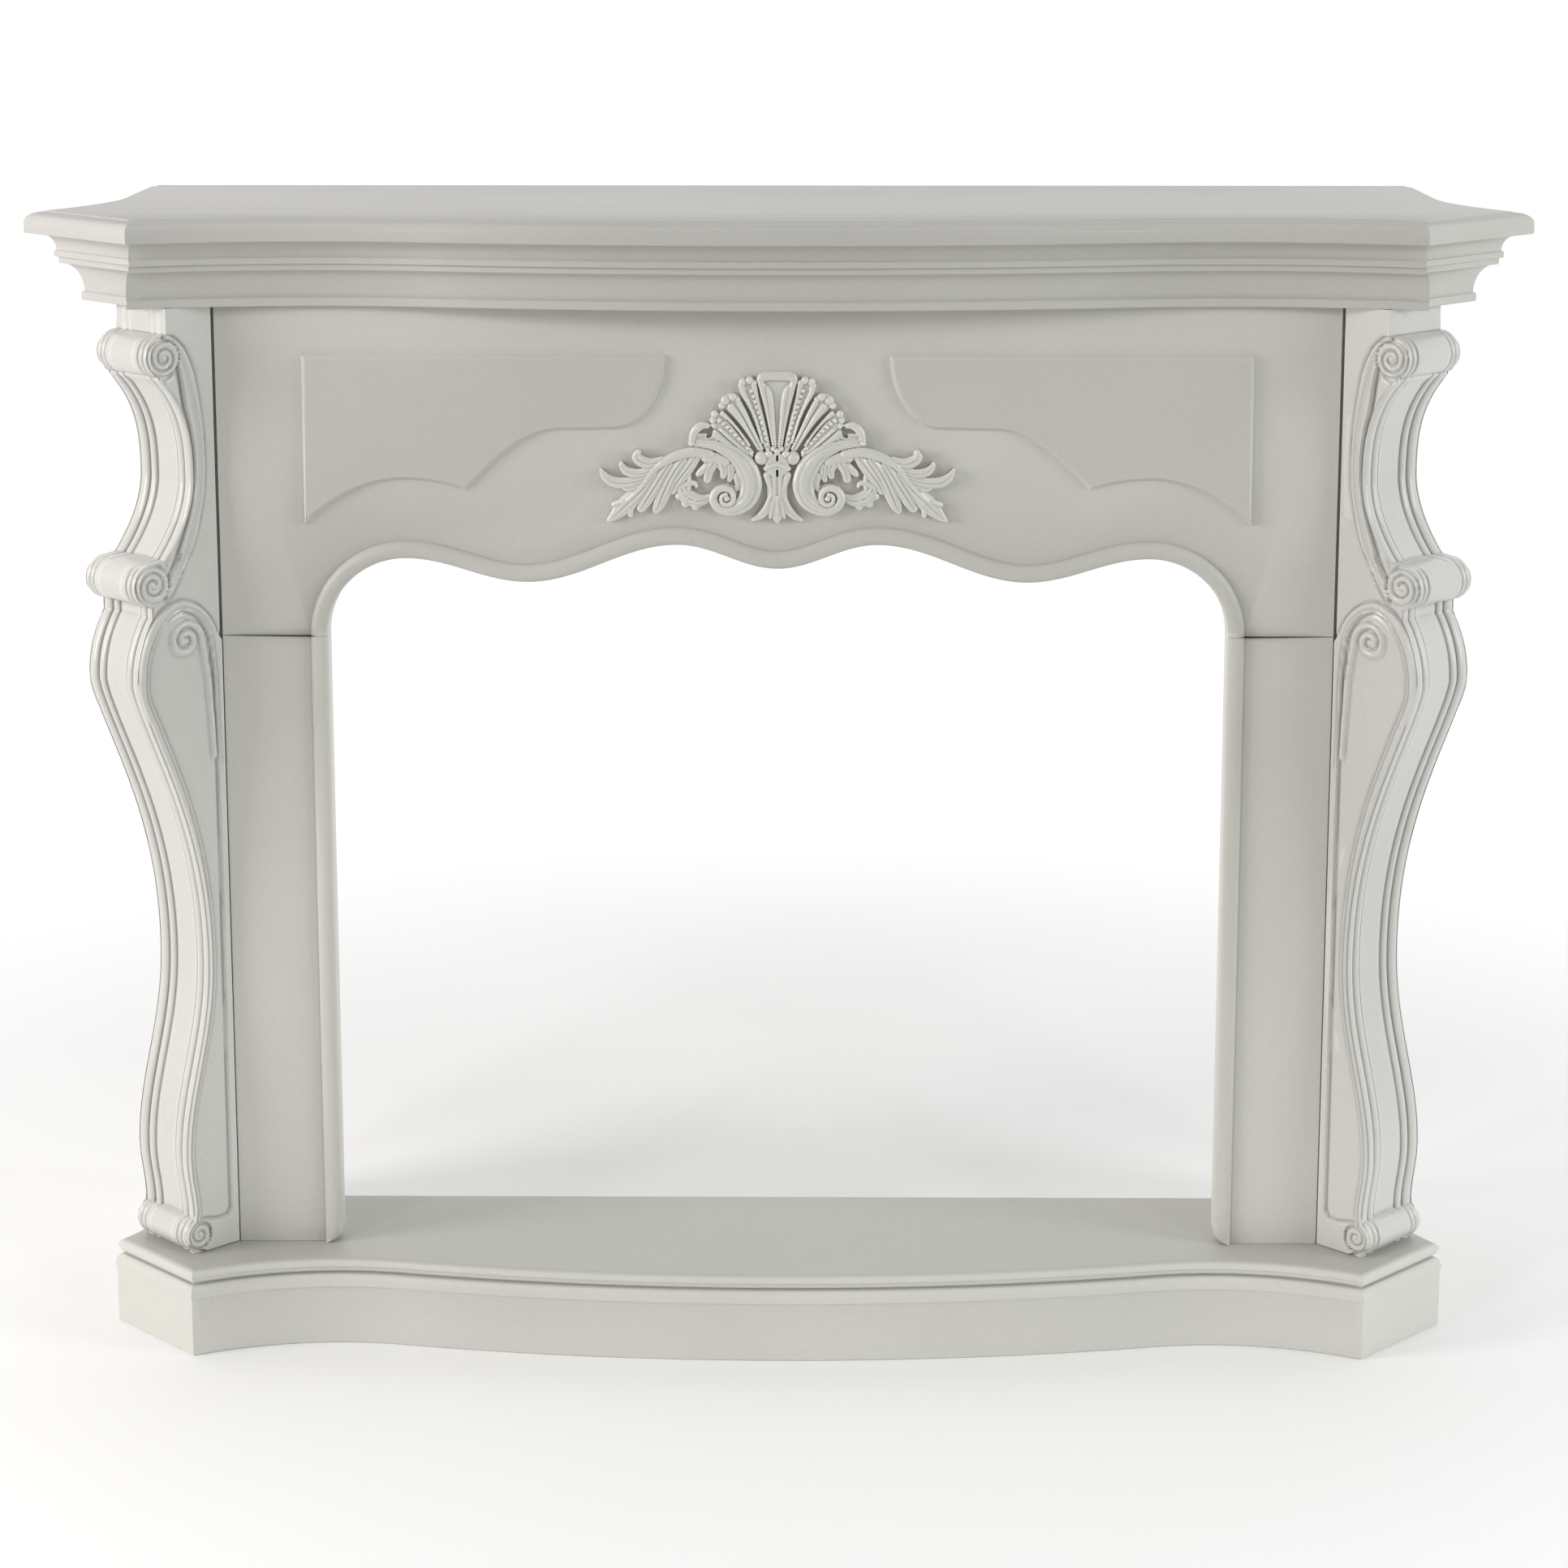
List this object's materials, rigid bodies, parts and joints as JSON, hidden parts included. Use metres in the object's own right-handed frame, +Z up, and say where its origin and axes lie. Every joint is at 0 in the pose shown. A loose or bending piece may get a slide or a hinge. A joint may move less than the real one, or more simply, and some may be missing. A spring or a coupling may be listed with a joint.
{
  "type": "fireplace mantelpiece",
  "caption": "Painted fireplace mantelpiece with a serpentine shelf, scrolled corner trusses, a wavy arched opening, a carved shell on the frieze and a moulded hearth.",
  "frame": {"origin": "middle of the bounding box, on the floor under the hearth", "axes": "+X along the shelf to the right seen from the room, +Y from the room to the wall, +Z up"},
  "size_m": [1.5, 0.445, 1.1555],
  "materials": {
    "shelf_paint": "satin white paint",
    "moulding_paint": "satin white paint",
    "board_paint": "satin white paint",
    "truss_paint": "satin white paint",
    "carving_paint": "satin white paint",
    "hearth_paint": "satin white paint"
  },
  "bodies": {
    "root": {"mantel_shelf": "shelf_paint", "cornice": "moulding_paint", "frieze": "board_paint", "jamb_left": "board_paint", "jamb_right": "board_paint", "side_return_left": "board_paint", "side_return_right": "board_paint", "console_left": "truss_paint", "console_right": "truss_paint", "applique": "carving_paint", "hearth": "hearth_paint"}
  },
  "joints": []
}
